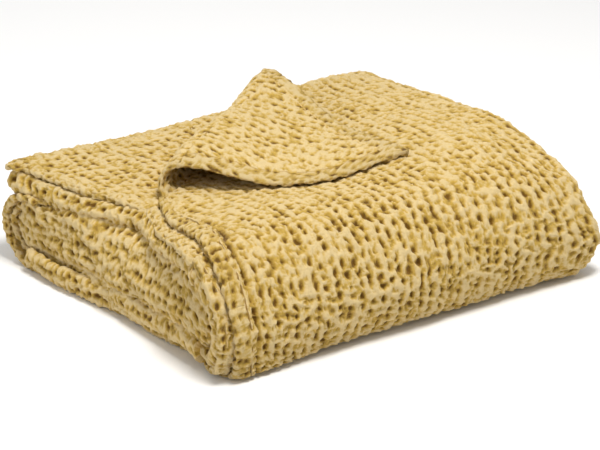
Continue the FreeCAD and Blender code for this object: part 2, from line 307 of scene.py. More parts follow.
def make_mesh(name, verts, quads, polys, uv, cavity, sharp=None):
    """A mesh from arrays: verts in mm, quads (n, 4), longer polygons and weave data for each vertex."""
    mesh = bpy.data.meshes.new(name)
    loops = [quads.ravel()]
    totals = [np.full(len(quads), 4)]
    for poly in polys:
        loops.append(np.array(poly))
        totals.append(np.array([len(poly)]))
    loops, totals = np.concatenate(loops), np.concatenate(totals)
    starts = np.concatenate([[0], np.cumsum(totals)[:-1]])
    mesh.vertices.add(len(verts))
    mesh.vertices.foreach_set("co", (verts / MM).astype(np.float32).ravel())
    mesh.loops.add(len(loops))
    mesh.loops.foreach_set("vertex_index", loops.astype(np.int32))
    mesh.polygons.add(len(totals))
    mesh.polygons.foreach_set("loop_start", starts.astype(np.int32))
    mesh.polygons.foreach_set("loop_total", totals.astype(np.int32))
    mesh.polygons.foreach_set("use_smooth", np.ones(len(totals), bool))
    layer = mesh.uv_layers.new(name="weave")
    layer.data.foreach_set("uv", (uv[loops] / 100).astype(np.float32).ravel())
    attribute = mesh.attributes.new("cavity", "FLOAT", "POINT")
    attribute.data.foreach_set("value", cavity.astype(np.float32))
    mesh.update(calc_edges=True)
    if sharp is not None:
        ends = np.zeros(len(mesh.edges) * 2, np.int32)
        mesh.edges.foreach_get("vertices", ends)
        ends = ends.reshape(-1, 2)
        hard = sharp[ends[:, 0]] & sharp[ends[:, 1]]
        edge_mark = mesh.attributes.new("sharp_edge", "BOOLEAN", "EDGE")
        edge_mark.data.foreach_set("value", hard)
    mesh.validate()
    piece = bpy.data.objects.new(name, mesh)
    bpy.context.scene.collection.objects.link(piece)
    PIECES[name] = piece
    return piece


def picks(count, step):
    """Every step-th index, with the last one."""
    chosen = list(range(0, count, step))
    if chosen[-1] != count - 1:
        if count - 1 - chosen[-1] < step / 2 and len(chosen) > 1:
            chosen.pop()
        chosen.append(count - 1)
    return chosen


def cloth(name, skin, back, uv, cavity, step=4, inside=None):
    """A closed sheet: a finely woven outer skin and a plainer inner one, joined round the rim.
    skin and back are (rows, columns, 3); the inner skin keeps every step-th row and column."""
    rows, cols = skin.shape[:2]
    ri, ci = picks(rows, step), picks(cols, step)
    inner = back[np.ix_(ri, ci)]
    verts = np.concatenate([skin.reshape(-1, 3), inner.reshape(-1, 3)])
    outer_index = np.arange(rows * cols).reshape(rows, cols)
    inner_index = rows * cols + np.arange(len(ri) * len(ci)).reshape(len(ri), len(ci))

    def grid(index, flip):
        a, b = index[:-1, :-1], index[1:, :-1]
        c, d = index[1:, 1:], index[:-1, 1:]
        quads = np.stack([a, b, c, d], -1).reshape(-1, 4)
        return quads[:, ::-1] if flip else quads

    rim = []

    def close(fine, coarse, marks, flip):
        for k in range(len(marks) - 1):
            run = list(fine[marks[k]:marks[k + 1] + 1])
            poly = run + [coarse[k + 1], coarse[k]]
            rim.append(poly[::-1] if flip else poly)

    close(outer_index[0], inner_index[0], ci, False)
    close(outer_index[-1], inner_index[-1], ci, True)
    close(outer_index[:, 0], inner_index[:, 0], ri, True)
    close(outer_index[:, -1], inner_index[:, -1], ri, False)
    quads = np.concatenate([grid(outer_index, False), grid(inner_index, True)])
    all_uv = np.concatenate([uv.reshape(-1, 2), uv[np.ix_(ri, ci)].reshape(-1, 2)])
    hidden = 0.25 + 0 * cavity if inside is None else inside
    all_cavity = np.concatenate([cavity.ravel(), hidden[np.ix_(ri, ci)].ravel()])
    edge = np.zeros((rows, cols), bool)
    edge[0] = edge[-1] = True
    edge[:, 0] = edge[:, -1] = True
    inner_edge = edge[np.ix_(ri, ci)]
    sharp = np.concatenate([edge.ravel(), inner_edge.ravel()])
    return make_mesh(name, verts, quads, rim, all_uv, all_cavity, sharp)


def cut_to(piece, width, length):
    piece["flat"] = [float(width) / MM, float(length) / MM]
    return piece


def hem_section(width, thick, points=44, blunt=0.62):
    """A flattened round section: offsets across and through, and the outward direction at each point."""
    around = np.linspace(0, 2 * math.pi, points + 1)[:-1]
    c, s = np.cos(around), np.sin(around)
    across = np.sign(c) * np.abs(c) ** 0.75 * width / 2
    through = np.sign(s) * np.abs(s) ** blunt * thick / 2
    size = np.hypot(c / (width / 2), s / (thick / 2))
    return across, through, (c / (width / 2)) / size, (s / (thick / 2)) / size


def girth_of(across, through):
    """Distance round a section from its first point."""
    return np.concatenate([[0], np.cumsum(np.hypot(np.diff(across), np.diff(through)))])


def tube_faces(index):
    """Quads round a tube and its two end caps, from its vertex numbers ring by ring."""
    after = np.roll(index, -1, axis=1)
    quads = np.stack([index[:-1], after[:-1], after[1:], index[1:]], -1).reshape(-1, 4)
    return quads, [list(index[0][::-1]), list(index[-1])]


def tube(name, rings, uv, cavity, flip=False):
    """A closed band: rings is (stations, points round the section, 3). flip turns its faces over."""
    if flip:
        rings, uv, cavity = rings[:, ::-1], uv[:, ::-1], cavity[:, ::-1]
    rows, cols = rings.shape[:2]
    quads, caps = tube_faces(np.arange(rows * cols).reshape(rows, cols))
    return make_mesh(name, rings.reshape(-1, 3), quads, caps, uv.reshape(-1, 2), cavity.ravel())


def steps(start, end, size):
    """Evenly spaced values from start to end, about size apart."""
    count = max(2, int(round(abs(end - start) / size)) + 1)
    return np.linspace(start, end, count)


def profile(parts):
    """Joins (x, n, outward x, outward n, u) samples of a ply's section; each part starts where one ends."""
    joined = [parts[0]] + [tuple(values[1:] for values in part) for part in parts[1:]]
    return [np.concatenate([part[k] for part in joined]) for k in range(5)]


def straight(x0, x1, n, side, size, u0):
    """A flat stretch at depth n; side is its outward direction and u0 its first weave coordinate."""
    x = steps(x0, x1, size)
    return x, 0 * x + n, 0 * x, 0 * x + side, u0 + np.abs(x - x0)


def bend(cx, cn, radius, a0, a1, size, u0):
    """An arc about (cx, cn): angle 0 points to +x and 90 degrees into the strip."""
    count = max(4, int(abs(math.radians(a1 - a0)) * radius / size) + 1)
    a = np.linspace(math.radians(a0), math.radians(a1), count)
    u = u0 + np.abs(a - a[0]) * radius
    return cx + radius * np.cos(a), cn + radius * np.sin(a), np.cos(a), np.sin(a), u


def hem_groove(height, cavity, distance, v, x, where):
    """Adds the uneven groove between a ply and its hem, distance mm from the groove's middle, and paints
    shade into it through the cavity value.
    """
    groove = np.exp(-(distance / 3.2) ** 2) * (0.75 + 0.6 * noise(v / 17, x / 40, 8)) * where
    return height - 2.6 * groove, np.clip(cavity + 0.5 * groove, 0, 1)


def strip_cloth(name, station, ts, section, u_base, strength=1.0, left=None):
    """A ply of the rolled strip: section is a profile, and left(t) stretches its flat start."""
    x, n, ox, on, u = section
    t = ts[:, None]
    x2 = np.broadcast_to(x, (len(ts), len(x)))
    u2 = np.broadcast_to(u + u_base, x2.shape)
    if left is not None:
        start = left(ts)[:, None]
        flat = (x2 <= FOLD_X + SAME_PLACE) & (on < 0) & (np.abs(ox) < SAME_PLACE)
        share = (x2 - x[0]) / (FOLD_X - x[0])
        moved = start + share * (FOLD_X - start)
        u2 = np.where(flat, moved, u2)
        x2 = np.where(flat, moved, x2)
    n2 = np.broadcast_to(n, x2.shape)
    v2 = along(station, n2, t)
    height, cavity = weave(u2, v2, strength)
    width = float(np.hypot(np.diff(x), np.diff(n)).sum())
    if left is not None:
        height, cavity = hem_groove(height, cavity, x2 - left(ts)[:, None] - 6, v2, x2, on < 0)
        width += float(x[0] - left(ts).mean())
    skin = on_strip(station, x2 + ox * (HALF + height), n2 + on * (HALF + height), t)
    back = on_strip(station, x2 - ox * (HALF - BACK_GAP), n2 - on * (HALF - BACK_GAP), t)
    piece = cloth(name, skin, back, np.stack([u2, v2 + 0 * u2], -1), cavity)
    return cut_to(piece, width, np.abs(np.diff(along(station, n.mean(), ts))).sum())


def strip_band(
    name, station, ts, edge, n_mid, width=HEM, thick=7.6, raise_by=None, waffle=False, slant=None
):
    """A hem on a ply's edge: a flattened tube, edge(t) its outer line; slant(t) skews it to a fold line."""
    a, b, oa, ob = hem_section(width, thick)
    girth = girth_of(a, b)
    t = ts[:, None]
    v = along(station, n_mid + 0 * ts, ts)[:, None]
    if waffle:
        height, cavity = weave(girth + 61 + 0 * v, v + 0 * a, 1.0, 0.3)
    else:
        height, cavity = pucker(v + 0 * a, girth)
        height = height - 1.3 * np.exp(-((a - width * 0.28) / 2.0) ** 2) * (b < 0)
    across = width / 2 + a + oa * height
    x = edge(ts)[:, None] + across
    n = n_mid + b + ob * height
    if slant is not None:
        lean = slant(ts)[:, None]
        t = t + across * lean
        x = x - across * (1 - 1 / np.hypot(1, lean))
    if raise_by is not None:
        n = n - raise_by(ts)[:, None]
    uv = np.stack([girth + 0 * v, v + 0 * a], -1)
    flip = station in ("top", "upper", "inner", "near")
    return tube(name, on_strip(station, x, n, t), uv, cavity, flip)


def stitch_row(name, points, tangents, length=4.4, radius=0.75):
    """A row of sewn stitches lying on flat cloth: small rounded threads, one mesh."""
    rings, segs = 7, 8
    f = np.linspace(-1, 1, rings)
    r = radius * np.sqrt(np.clip(1 - np.abs(f) ** 2.6, 0.03, 1))
    a = np.linspace(0, 2 * math.pi, segs + 1)[:-1]
    verts, quads, polys = [], [], []
    for k, (p, tan) in enumerate(zip(points, tangents)):
        side = np.cross([0.0, 0.0, 1.0], tan)
        side = side / np.linalg.norm(side)
        up = np.cross(tan, side)
        dip = (1 - np.abs(f) ** 2)[:, None] * 0.5 - 0.35
        centre = p + tan * (f * length / 2)[:, None] + up * dip
        round_it = side * (r[:, None] * np.cos(a))[..., None] + up * (r[:, None] * np.sin(a))[..., None]
        index = k * rings * segs + np.arange(rings * segs).reshape(rings, segs)
        sides, caps = tube_faces(index)
        quads.append(sides)
        polys += caps
        verts.append((centre[:, None] + round_it).reshape(-1, 3))
    verts = np.concatenate(verts)
    return make_mesh(name, verts, np.concatenate(quads), polys, verts[:, :2], np.full(len(verts), 0.12))


def stitch_places(line, spacing=6.2, reach=0.8):
    """Evenly spaced points along a line of points, and the line's direction at each."""
    gap = np.linalg.norm(np.diff(line, axis=0), axis=1)
    dist = np.concatenate([[0], np.cumsum(gap)])
    at = np.arange(spacing / 2, dist[-1], spacing)

    def on_line(where):
        return np.stack([np.interp(where, dist, line[:, k]) for k in range(3)], -1)

    tan = on_line(at + reach) - on_line(at - reach)
    return on_line(at), tan / np.linalg.norm(tan, axis=1)[:, None]


# ---- sections of the folded strip ----

def outer_section(x0, d_end):
    """The outermost ply from x0 round the closed side fold and back beneath as the innermost ply."""
    mid = HALF
    flat = straight(x0, FOLD_X, mid, -1, FINE, x0)
    turn = bend(FOLD_X, LAP / 2, LAP / 2 - mid, -90, 90, FINE, FOLD_X)
    below = straight(FOLD_X, d_end, LAP - mid, 1, COARSE, FOLD_X + (LAP / 2 - mid) * math.pi)
    return profile([flat, turn, below])


def far_fold(name, station, ts, d_end):
    """The closed side fold at the far end of the outermost ply, run back to d_end as the innermost one."""
    turn = bend(FOLD_X, LAP / 2, LAP / 2 - HALF, -90, 90, FINE, FOLD_X)
    below = straight(FOLD_X, d_end, LAP - HALF, 1, COARSE, FOLD_X + 33)
    return strip_cloth(name, station, ts, profile([turn, below]), 0.0, 0.85)


def lip_section():
    """A unit left fold between two plies: half a round of radius 1, with a tail of 1 at both ends."""
    centre = 1 + HALF
    low = straight(centre + 1, centre, 1.0, 1, 3.0, 0)
    arc = bend(centre, 0.0, 1.0, 90, 270, 0.08, 1)
    up = straight(centre, centre + 1, -1.0, -1, 3.0, 1 + math.pi)
    return profile([low, arc, up])


def at_each(value, ts):
    """A column of value(t), or of the value where it isn't a function."""
    return (value(ts) if callable(value) else value + 0 * ts)[:, None]


def lip_cloth(
    name, station, ts, edge, n_mid, radius, tail_top=26, tail_low=26, strength=0.8, u_base=0.0, squash=1.0
):
    """A ply's left fold; edge(t) is where it bulges to. n_mid and radius may be functions of t."""
    x, n, ox, on, _ = lip_section()
    t, r, depth = ts[:, None], at_each(radius, ts), at_each(n_mid, ts)
    dx, dn = x - (1 + HALF), n
    inside = np.clip(dx, 0, None)
    tail = inside * np.where(dn < 0, tail_top, tail_low)
    x2 = edge(ts)[:, None] + r * squash + HALF + np.where(dx < 0, dx * r * squash, tail)
    n2 = depth + dn * r
    turned = np.arctan2(dn, -np.minimum(dx, 0) + 1e-9)
    u2 = u_base - turned * np.maximum(r, 6) - np.sign(dn) * inside * 20
    v2 = along(station, depth + 0 * r, t) + 0 * u2
    height, cavity = weave(u2, v2, strength, 0.35)
    within = np.minimum(HALF - BACK_GAP, r - 0.5)
    skin = on_strip(station, x2 + ox * (HALF + height), n2 + on * (HALF + height), t)
    back = on_strip(station, x2 - ox * within, n2 - on * within, t)
    piece = cloth(name, skin, back, np.stack([u2, v2], -1), cavity)
    return cut_to(piece, tail_top + tail_low + math.pi * r.mean(), np.abs(np.diff(v2[:, 0])).sum())


# ---- the near fold, in three arcs ----

THIRD = math.pi / 3
ARCS = {
    "near_fold_head": (0, THIRD, "fold_link_upper", "top_lap"),
    "near_fold_middle": (THIRD, 2 * THIRD, "fold_link_lower", "fold_link_upper"),
    "near_fold_foot": (2 * THIRD, math.pi, "root", "fold_link_lower"),
}


def near_ply_end(t):
    """The outer ply's own end round the near fold."""
    return X_LEFT + curve(t, (0, 17), (0.5, 12.5), (1.1, 11), (1.7, 14), (2.4, 15), (math.pi, 14))


def near_second_end(t):
    """The second ply's."""
    return X_LEFT + curve(t, (0, 4), (0.5, 1), (1.4, 0), (2.2, 2), (math.pi, 9))


def near_fold_end(t):
    """The left fold's."""
    return X_LEFT + curve(t, (0, 3), (0.6, 2), (2.2, 4), (math.pi, 10))


# how far in from the hem's own end each arc's second ply starts
SECOND_PLY_IN = {"near_fold_head": 8, "near_fold_middle": 7, "near_fold_foot": 13}


def near_fold_arc(arc, t0, t1):
    """The plies and hems of one arc of the near fold."""
    ts = steps(t0, t1, 1.15 / 54)
    outer = outer_section(FLAT_START, X_LEFT + 14)
    second = straight(X_LEFT + SECOND_PLY_IN[arc], X_LEFT + 60, 1.5 * PLY, -1, FINE, X_LEFT)
    return [
        strip_cloth(arc + "_cloth", "near", ts, outer, 0.0, left=lambda t: near_ply_end(t) + HEM - 5),
        strip_band(arc + "_side_hem", "near", ts, near_ply_end, HALF - 0.6),
        strip_cloth(arc + "_second_ply", "near", ts, profile([second]), 31.0, 0.6),
        strip_band(arc + "_second_hem", "near", ts, near_second_end, 1.5 * PLY + 0.3, 12, 7.8, waffle=True),
        lip_cloth(arc + "_side_fold", "near", ts, near_fold_end, 3 * PLY + 0.4, HALF + 1.4, u_base=57),
    ]


for arc, (t0, t1, low_body, high_body) in ARCS.items():
    for piece in near_fold_arc(arc, t0, t1):
        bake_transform(piece)

# ---- the top lap ----

def inset(s):
    """How far the fold's axis lies inside the fold line, so that the loop's outside follows it."""
    return curve(s, (-20, 9), (130, 7), (240, 4), (300, 1))


def axis_at(s):
    return P1[0] + FOLD_D[0] * s - FOLD_N[0] * inset(s), P1[1] + FOLD_D[1] * s - FOLD_N[1] * inset(s)


AXIS_X, AXIS_Y = axis_at(np.linspace(-80, FOLD_LENGTH + 40, 300))


def fold_line_x(y):
    """x on the corner's fold axis at y."""
    return np.interp(y, AXIS_Y, AXIS_X)


def lap_sheet(name, x, n, y, uv, height, cavity):
    """A sheet of the top lap about its mid-surface, woven on its upper face."""
    skin = on_strip("top", x, n - HALF - height, y)
    back = on_strip("top", x, n + HALF - BACK_GAP, y)
    return cloth(name, skin, back, np.stack(uv, -1), cavity)


def top_cloth():
    """The top ply, from its hem and the corner's fold line to the far side fold."""
    ys = steps(TOP_END - 4, NEAR_Y, 1.18)
    columns = int((FOLD_X - X_LEFT - 20) / 1.18)
    share = np.linspace(0, 1, columns)[None, :]
    y = ys[:, None] + 0 * share
    # the outline follows the hem, then the fold line
    under = 5 + 8 * smooth((ys + 75) / 60)
    start = np.maximum(np.minimum(ply_end(ys), ply_end(P1[1])) + HEM - under, fold_line_x(ys))[:, None]
    x = start + share * (FOLD_X - start)
    n = HALF + 0 * x
    v = along("top", n, y)
    calm = smooth((y - NEAR_Y - 5) / 70)
    height, cavity = weave(x, v, 1.0, 0.0, 1.0 - 0.14 * calm)
    height, cavity = height * (1.0 - 0.22 * calm), cavity * (1 - 0.15 * calm)
    height, cavity = hem_groove(height, cavity, x - ply_end(y) - HEM - 1, v, x, smooth((-30 - y) / 50))
    piece = lap_sheet("top_ply_cloth", x, n, y, (x, v), height, cavity)
    return cut_to(piece, (FOLD_X - start).mean(), np.ptp(ys))


top_lap_pieces = [
    top_cloth(),
    far_fold("top_lap_far_fold", "top", steps(TOP_END - 6, NEAR_Y, FINE), X_LEFT + 64),
]


def second_ply_lift(y, x):
    """The second ply puffs up to the top where the first is turned away."""
    away = -((x - P1[0]) * FOLD_N[0] + (y - P1[1]) * FOLD_N[1])
    return 5.0 * smooth((-away - 4) / 40) * smooth((y + 8) / 50)


def second_ply_cloth():
    """The top lap's second ply, which shows at the left and beside the turned corner."""
    ys = steps(TOP_END - 2, NEAR_Y, FINE)
    left = (second_ply_end(ys) + 0.5)[:, None]
    right = np.maximum(fold_line_x(ys) + 55, ply_end(ys) + 30)[:, None]
    right = np.minimum(right, FOLD_X)
    share = np.linspace(0, 1, 235)[None, :]
    x = left + share * (right - left)
    y = ys[:, None] + 0 * share
    margin = np.clip((x - left) / 9, 0, 1)
    n = 1.5 * PLY - second_ply_lift(y, x) + 3.0 * (1 - np.sqrt(1 - (1 - margin) ** 2))
    v = along("top", n, y)
    height, cavity = weave(x + 311, v + 97, 0.8, 0.0, 0.88)
    piece = lap_sheet("top_lap_second_ply", x, n, y, (x + 311, v), height, cavity)
    return cut_to(piece, (right - left).mean(), np.ptp(ys))


top_lap_pieces.append(second_ply_cloth())


def lip_sag(y):
    """How much lower and fuller the top lap's left fold is, at the rear and where the second ply steps in."""
    return 3.0 * smooth((y - 60) / 60) + 1.6 * np.exp(-((y - 12) / 40) ** 2)


hem_ys = steps(axis_at(0)[1], NEAR_Y, FINE)
second_ys = steps(TOP_END + 4, NEAR_Y, FINE)
top_lap_pieces += [
    strip_band(
        "top_side_hem", "top", hem_ys, ply_end, HALF - 0.6,
        slant=lambda t: FOLD_D[1] / FOLD_D[0] * smooth((t - axis_at(0)[1] + 34) / 34),
    ),
    strip_band(
        "top_second_hem", "top", second_ys, lambda t: second_ply_end(t) - 2.5, 1.5 * PLY + 1.7,
        width=14, thick=7.8, waffle=True, raise_by=lambda t: second_ply_lift(t, second_ply_end(t)),
    ),
    lip_cloth(
        "top_lap_side_fold", "top", second_ys[2:], side_fold_end, lambda t: 3.0 * PLY + lip_sag(t),
        lambda t: HALF + 3.2 + 1.1 * lip_sag(t), u_base=57, squash=0.9, strength=1.15,
    ),
]


def rear_band(name, n_mid, x0, x1, y_edge, width, thick, lift=None):
    """An end hem across the lap's rear edge; y_edge(x) is its outer line and lift(y, x) raises it."""
    xs = steps(x0, x1, FINE)
    x, edge = xs[:, None], y_edge(xs)[:, None]
    a, b, oa, ob = hem_section(width, thick, 40, 0.65)
    girth = girth_of(a, b)
    height, cavity = pucker(x + 0 * a + 40 * n_mid, girth)
    height = height - 0.9 * np.exp(-((a + width * 0.28) / 2.0) ** 2) * (b < 0)
    if lift is not None:
        n_mid = n_mid - lift(edge, x)
    # both ends are rounded off
    nearest = np.minimum(x - x[0], x[-1] - x)
    blunt = np.sqrt(np.clip(1 - (1 - np.clip(nearest / 9, 0, 1)) ** 2, 0.03, 1))
    y = edge - width / 2 + (a + oa * height) * (0.4 + 0.6 * blunt)
    n = n_mid + (b + ob * height) * blunt
    uv = np.stack([x + 0 * a, girth + 0 * x], -1)
    return tube(name, on_strip("top", x + 0 * a, n, y), uv, cavity)


def second_rear_line(x):
    """The second ply's end hem stands out past the others at the left."""
    return TOP_END + curve(
        x, (X_LEFT, 7), (X_LEFT + 14, 10), (X_LEFT + 60, 6), (X_LEFT + 200, 0), (FOLD_X, -2)
    )


def level(value):
    """A straight line: the same value all the way along."""
    return lambda t: value + 0 * t


top_lap_pieces += [
    rear_band("top_end_hem_cloth", HALF - 0.4, P2[0] - 6, FOLD_X + 6, level(TOP_END - 2), 24, 7.6),
    rear_band(
        "second_end_hem", 1.5 * PLY + 0.3, X_LEFT - 2, FOLD_X + 4, second_rear_line, 20, 7.0,
        lift=second_ply_lift,
    ),
    rear_band("third_end_hem", 2.5 * PLY + 0.2, X_LEFT + 14, FOLD_X + 4, level(TOP_END - 1), 20, 7.0),
    rear_band("fourth_end_hem", 3.5 * PLY, X_LEFT + 14, FOLD_X + 6, level(TOP_END - 3), 20, 7.2),
]
for piece in top_lap_pieces:
    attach(piece, "top_lap")

# ---- the turned corner ----

# the flap's tip and the feet of its two sides: s runs along the fold line and q away from it
TIP_S, TIP_Q = 147.1, 192.1
SIDE_S0, END_S0 = 26.0, FOLD_LENGTH - 27.0


def loop_radius(s):
    return curve(
        s, (-6, 10.5), (20, 12.5), (70, 15), (140, 15), (185, 13.4), (215, 13.8), (250, 16.4), (282, 16.4),
        (300, 14),
    )


def loop_base(s):
    """Settled mid-height of the top ply along the fold's axis."""
    x, y = axis_at(s)
    return settle(x, y, TOP - HALF + 0 * s)[2]


def loop_place(s, a, out):
    """A point s along the loop, a round it from the top ply up to the flap, out from its mid-surface."""
    x, y = axis_at(s)
    r = loop_radius(s)
    reach = (r + out) * np.sin(a)
    z = loop_base(s) + r - (r + out) * np.cos(a)
    return np.stack([x + FOLD_N[0] * reach, y + FOLD_N[1] * reach, z], -1)


def loop_sides(a):
    """Where the loop's two hems run, along the fold, at an angle round it."""
    return SIDE_S0 * a / math.pi, FOLD_LENGTH + (END_S0 - FOLD_LENGTH) * a / math.pi


LOOP_ANGLES = np.linspace(0, math.pi, 56)
BAND = HEM / 0.8
BAND_THICK = 6.6
# thickness of the corner's hems at their outer edge, as a share of the rest
EDGE_SHARE = 0.68
FAR_EDGE_SHARE = 1.15
# how far the corner's underside lies from its mid-surface
UNDERSIDE = 1.6
# where the flap's weave carries on from the loop's
LOOP_ROUND = 55


def corner_weave(s, q):
    """Relief and cavity of the corner's upper face; q runs on round the loop and up the flap."""
    return weave(s + 200, q + 30, 0.72, 0.0, 0.86)


def corner_underside(s, q):
    return weave(s + 77, q + 130, 0.6, 0.0, 0.86)


def corner_sheet(name, place, s, t, q, carry_on=0.0):
    """A sheet of the corner, woven on both faces. place(s, t, out) gives its points."""
    height, cavity = corner_weave(s, q + carry_on)
    under, under_cavity = corner_underside(s, q + carry_on)
    skin, back = place(s, t, HALF + height), place(s, t, -UNDERSIDE - under)
    uv = np.stack([s, q], -1)
    return cloth(name, skin[::-1], back[::-1], uv[::-1], cavity[::-1] * 0.85, 1, under_cavity[::-1])


def corner_section(edge_share):
    """The corner's hem section, thinner or thicker towards its outer edge."""
    a, b, oa, ob = hem_section(BAND, BAND_THICK)
    return a, b * (edge_share + (1 - edge_share) * (a / BAND + 0.5)), oa, ob


def loop_cloth():
    side, far = loop_sides(LOOP_ANGLES)
    share = np.linspace(0, 1, 205)[None, :]
    s = (side + BAND * 0.75)[:, None] + share * (far - side - 1.5 * BAND)[:, None]
    a = LOOP_ANGLES[:, None] + 0 * share
    piece = corner_sheet("corner_fold_cloth", loop_place, s, a, loop_radius(s) * a)
    return cut_to(piece, (far - side - 1.5 * BAND).mean(), loop_radius(s).mean() * math.pi)


def loop_band(name, far_side):
    a, b, oa, ob = corner_section(EDGE_SHARE)
    angle = LOOP_ANGLES[:, None]
    side, far = loop_sides(angle)
    inwards = -1 if far_side else 1
    s = (far if far_side else side) + inwards * (BAND / 2 + a)
    height, cavity = corner_weave(s + 60 * (b < 0), loop_radius(s) * angle)
    s = s + inwards * oa * height
    rings = loop_place(s, angle + 0 * s, b + ob * height)
    uv = np.stack([a + 4 * b + 0 * angle, 15 * angle + 0 * a], -1)
    return tube(name, rings, uv, cavity, far_side)


def flap_sides(q):
    return SIDE_S0 + q * (TIP_S - SIDE_S0) / TIP_Q, END_S0 - q * (END_S0 - TIP_S) / TIP_Q


def flap_place(s, q, out):
    """A point of the turned flap: s along the fold, q away from it, out mm above its mid-surface."""
    side, far = flap_sides(q)
    share = np.clip((s - side) / np.maximum(far - side, 1), 0, 1)
    f = np.clip(q / TIP_Q, 0, 1)
    away = q + inset(s) * (1 - f)
    bow = np.sin(math.pi * f) ** 1.2
    slack = (1 - share) ** 1.5
    x = P1[0] + FOLD_D[0] * s - FOLD_N[0] * away - bow * (6 + 16 * slack)
    y = P1[1] + FOLD_D[1] * s - FOLD_N[1] * away - bow * (9 + 22 * slack)
    base = settle(x, y, TOP + 0 * x)[2]
    crest = loop_base(s) + 2 * loop_radius(s)
    rest = base + HALF + 0.4 + 2.0 * np.sin(math.pi * share) * np.sin(math.pi * f)
    keep = 1 - smooth((q - 4) / (90 + 34 * share)) ** 1.15
    z = rest + (crest - rest) * keep
    return np.stack([x, y, z + out], -1)


def flap_cloth():
    qs = steps(0, TIP_Q - 16, FINE)
    side, far = flap_sides(qs)
    side, far = side + 0.7 * BAND, far - 0.7 * BAND
    far = np.maximum(far, side + 2)
    share = np.linspace(0, 1, 190)[None, :]
    q = qs[:, None] + 0 * share
    s = side[:, None] + share * (far - side)[:, None]
    piece = corner_sheet("corner_flap_cloth", flap_place, s, q, q, LOOP_ROUND)
    piece["flat_area"] = float((far - side).mean() * np.ptp(qs)) / MM / MM
    return cut_to(piece, far[0] - side[0], np.ptp(qs))


def flap_band(name, far_side):
    """A hem on the flap, from the loop to the tip."""
    a, b, oa, ob = corner_section(FAR_EDGE_SHARE if far_side else EDGE_SHARE)
    q = steps(0, TIP_Q - 2, FINE)[:, None]
    side, far = flap_sides(q)
    # towards the tip the hem narrows to the mitred corner
    room = np.minimum(1, (far - side) / BAND * 0.98 + 0.06)
    inwards = -1 if far_side else 1
    start = far if far_side else side
    s = start + inwards * (BAND / 2 + a) * room
    height, cavity = corner_weave(s + 60 * (b < 0), q + LOOP_ROUND + 0 * a)
    if far_side:
        # painted shade in the sewn groove, and a painted shadow line along the hem's outer edge
        sewn = np.exp(-((a - BAND * 0.28) / 2.2) ** 2) * (b > 0)
        height, cavity = height - 2.4 * sewn, np.clip(cavity + 0.4 * sewn, 0, 1)
        cavity = np.clip(cavity + 0.45 * np.exp(-((a + BAND * 0.47) / 2.0) ** 2), 0, 1)
    s = start + inwards * (BAND / 2 + a + oa * height) * room
    rings = flap_place(s, q + 0 * s, b + ob * height)
    uv = np.stack([a + 4 * b + 0 * q, q * 1.25 + 0 * a], -1)
    return tube(name, rings, uv, cavity, not far_side)


def end_stitches():
    """The sewn line of the flap's far hem."""
    q = steps(3, TIP_Q - 30, 1.0)
    line = flap_place(flap_sides(q)[1] - BAND * 0.78, q, HALF - 0.2)
    return stitch_row("corner_end_stitches", *stitch_places(line))


loop_pieces = [
    loop_cloth(), loop_band("corner_fold_side_hem", False), loop_band("corner_fold_end_hem", True),
]
for piece in loop_pieces:
    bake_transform(piece)
corner_pieces = [
    flap_cloth(), flap_band("corner_side_hem_cloth", False), flap_band("corner_end_hem_cloth", True),
    end_stitches(),
]
for piece in corner_pieces:
    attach(piece, "turned_corner")

# ---- the bottom lap, rear fold and inner laps ----

root_pieces = []


def curl(y):
    """How far the bottom ply's own margin turns up its end face, from 0 to 1."""
    return curve(y, (-130, 0.85), (-90, 1), (100, 1), (144, 0.9))


